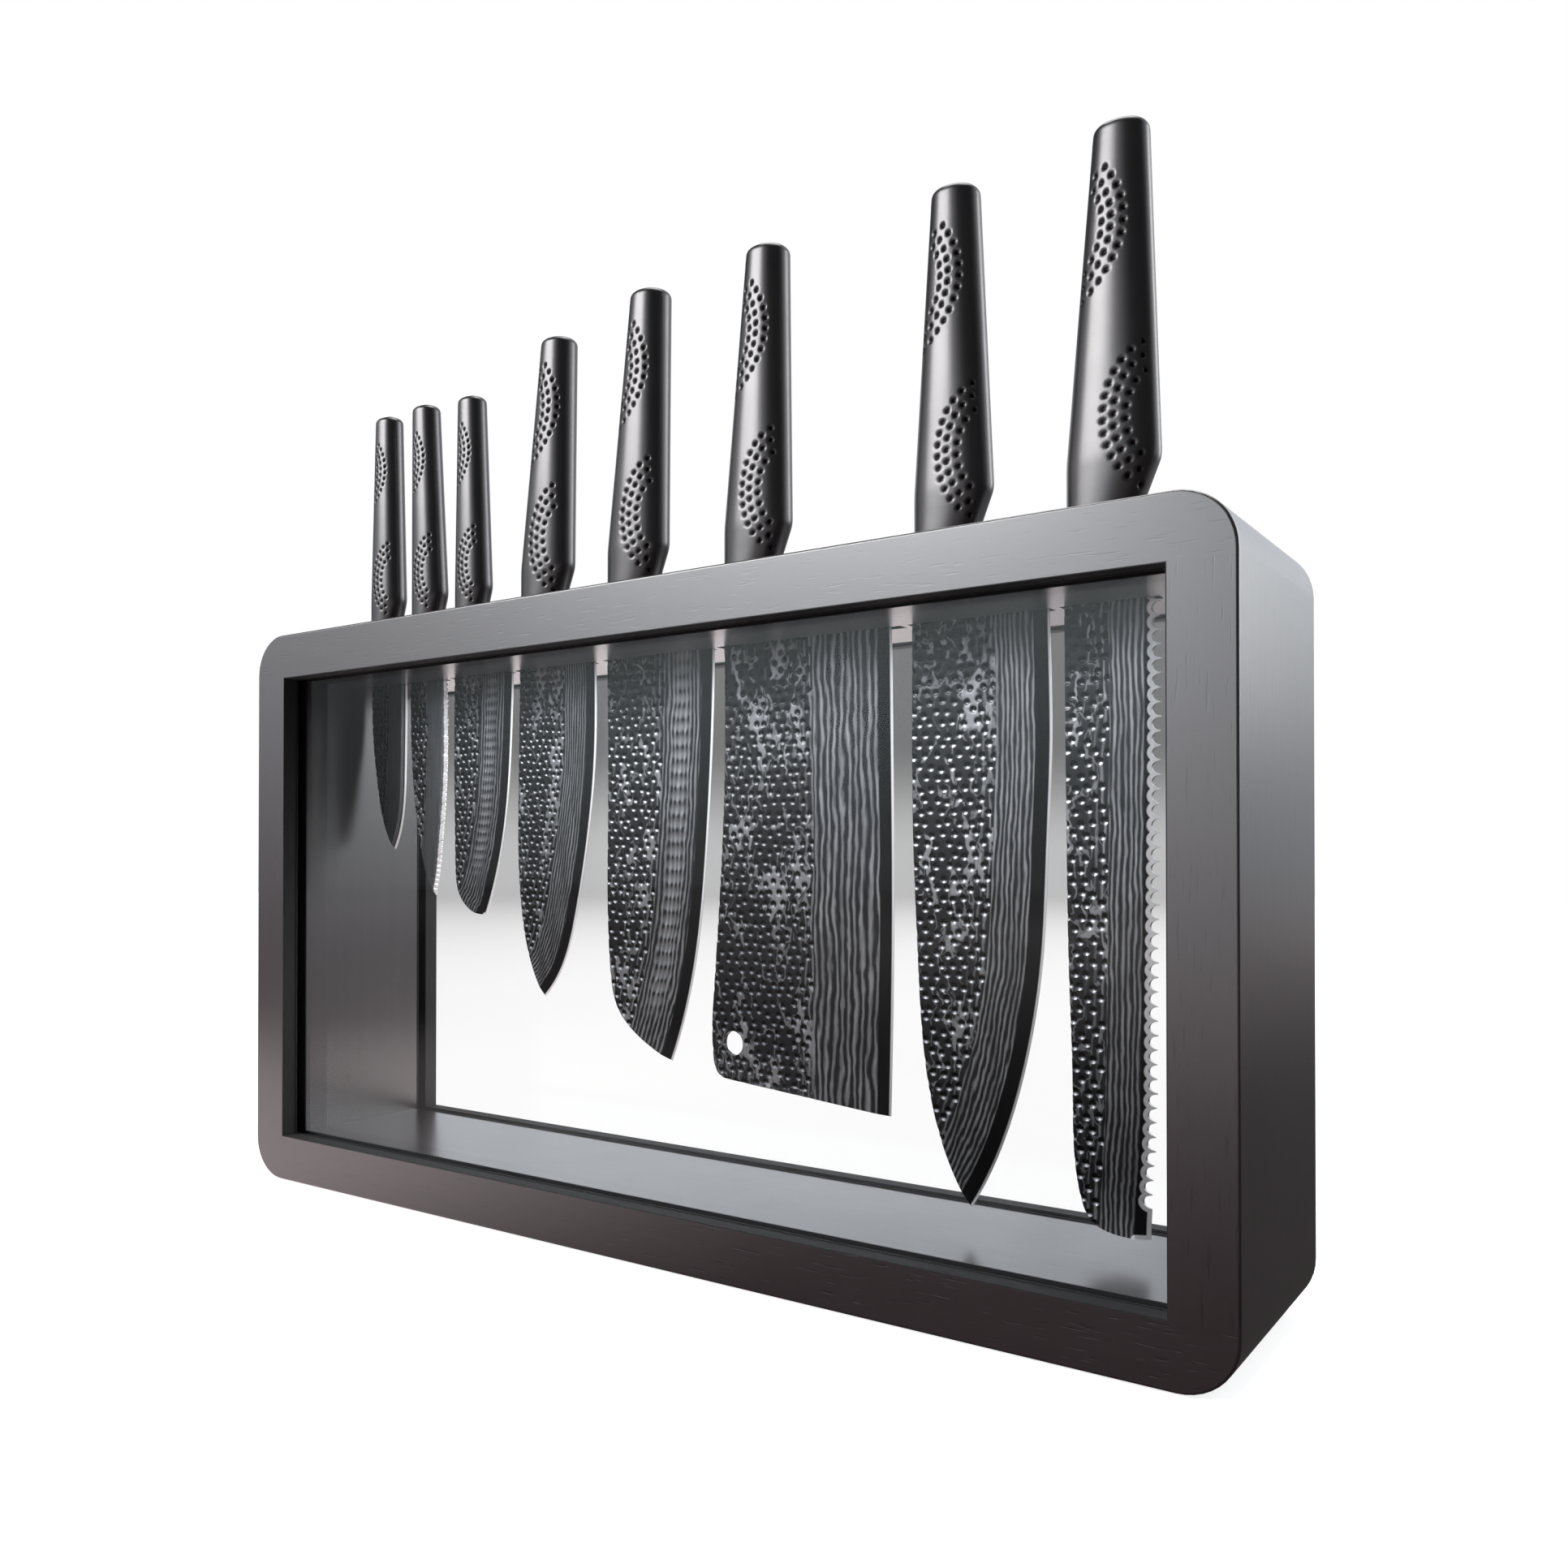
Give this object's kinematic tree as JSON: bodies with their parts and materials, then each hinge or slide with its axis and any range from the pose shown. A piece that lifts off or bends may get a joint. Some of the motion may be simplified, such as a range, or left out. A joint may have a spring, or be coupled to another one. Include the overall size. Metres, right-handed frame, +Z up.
{
  "type": "knife magnetic rack",
  "caption": "Glass-fronted countertop knife block: a dark wooden frame glazed front and back, with magnet-backed slots in the top board for knives that lift out.",
  "frame": {"origin": "centre of the footprint, on the plane the rubber pads rest on", "axes": "+X to the right along the row of knives, seen from the front; +Y to the back; +Z up. The front pane faces -Y"},
  "size_m": [0.404, 0.08, 0.3466],
  "materials": {
    "dark_wood": "satin stained, fine open grain",
    "dowel_wood": "raw beech",
    "clear_glass": "polished clear",
    "black_rubber": "matt",
    "pad_rubber": "matt, soft",
    "magnet_nickel": "nickel plated",
    "blade_steel": "black coated, hammered and etched, bright cutting edge",
    "handle_steel": "satin dark coated, dimpled grip"
  },
  "bodies": {
    "rack": {"bottom_board": "dark_wood", "left_side_board": "dark_wood", "right_side_board": "dark_wood", "top_board_front": "dark_wood", "top_board_rear": "dark_wood", "corner_dowels": "dowel_wood", "front_glass": "clear_glass", "rear_glass": "clear_glass", "front_glazing_gasket": "black_rubber", "rear_glazing_gasket": "black_rubber", "slot_magnets": "magnet_nickel", "rubber_pads": "pad_rubber"},
    "paring_knife": {"paring_knife_blade": "blade_steel", "paring_knife_handle_front": "handle_steel", "paring_knife_handle_rear": "handle_steel"},
    "serrated_utility_knife": {"serrated_utility_knife_blade": "blade_steel", "serrated_utility_knife_handle_front": "handle_steel", "serrated_utility_knife_handle_rear": "handle_steel"},
    "small_santoku": {"small_santoku_blade": "blade_steel", "small_santoku_handle_front": "handle_steel", "small_santoku_handle_rear": "handle_steel"},
    "cooks_knife": {"cooks_knife_blade": "blade_steel", "cooks_knife_handle_front": "handle_steel", "cooks_knife_handle_rear": "handle_steel"},
    "santoku_knife": {"santoku_knife_blade": "blade_steel", "santoku_knife_handle_front": "handle_steel", "santoku_knife_handle_rear": "handle_steel"},
    "cleaver": {"cleaver_blade": "blade_steel", "cleaver_handle_front": "handle_steel", "cleaver_handle_rear": "handle_steel"},
    "chefs_knife": {"chefs_knife_blade": "blade_steel", "chefs_knife_handle_front": "handle_steel", "chefs_knife_handle_rear": "handle_steel"},
    "bread_knife": {"bread_knife_blade": "blade_steel", "bread_knife_handle_front": "handle_steel", "bread_knife_handle_rear": "handle_steel"}
  },
  "joints": [
    {"name": "paring_knife_pull", "type": "slide", "parent": "rack", "child": "paring_knife", "axis": [0, 0, 1], "range_m": [0, 0.103]},
    {"name": "serrated_utility_knife_pull", "type": "slide", "parent": "rack", "child": "serrated_utility_knife", "axis": [0, 0, 1], "range_m": [0, 0.122]},
    {"name": "small_santoku_pull", "type": "slide", "parent": "rack", "child": "small_santoku", "axis": [0, 0, 1], "range_m": [0, 0.13]},
    {"name": "cooks_knife_pull", "type": "slide", "parent": "rack", "child": "cooks_knife", "axis": [0, 0, 1], "range_m": [0, 0.161]},
    {"name": "santoku_knife_pull", "type": "slide", "parent": "rack", "child": "santoku_knife", "axis": [0, 0, 1], "range_m": [0, 0.18]},
    {"name": "cleaver_pull", "type": "slide", "parent": "rack", "child": "cleaver", "axis": [0.0285, 0, 0.9996], "range_m": [0, 0.19]},
    {"name": "chefs_knife_pull", "type": "slide", "parent": "rack", "child": "chefs_knife", "axis": [0, 0, 1], "range_m": [0, 0.215]},
    {"name": "bread_knife_pull", "type": "slide", "parent": "rack", "child": "bread_knife", "axis": [0, 0, 1], "range_m": [0, 0.215]}
  ]
}
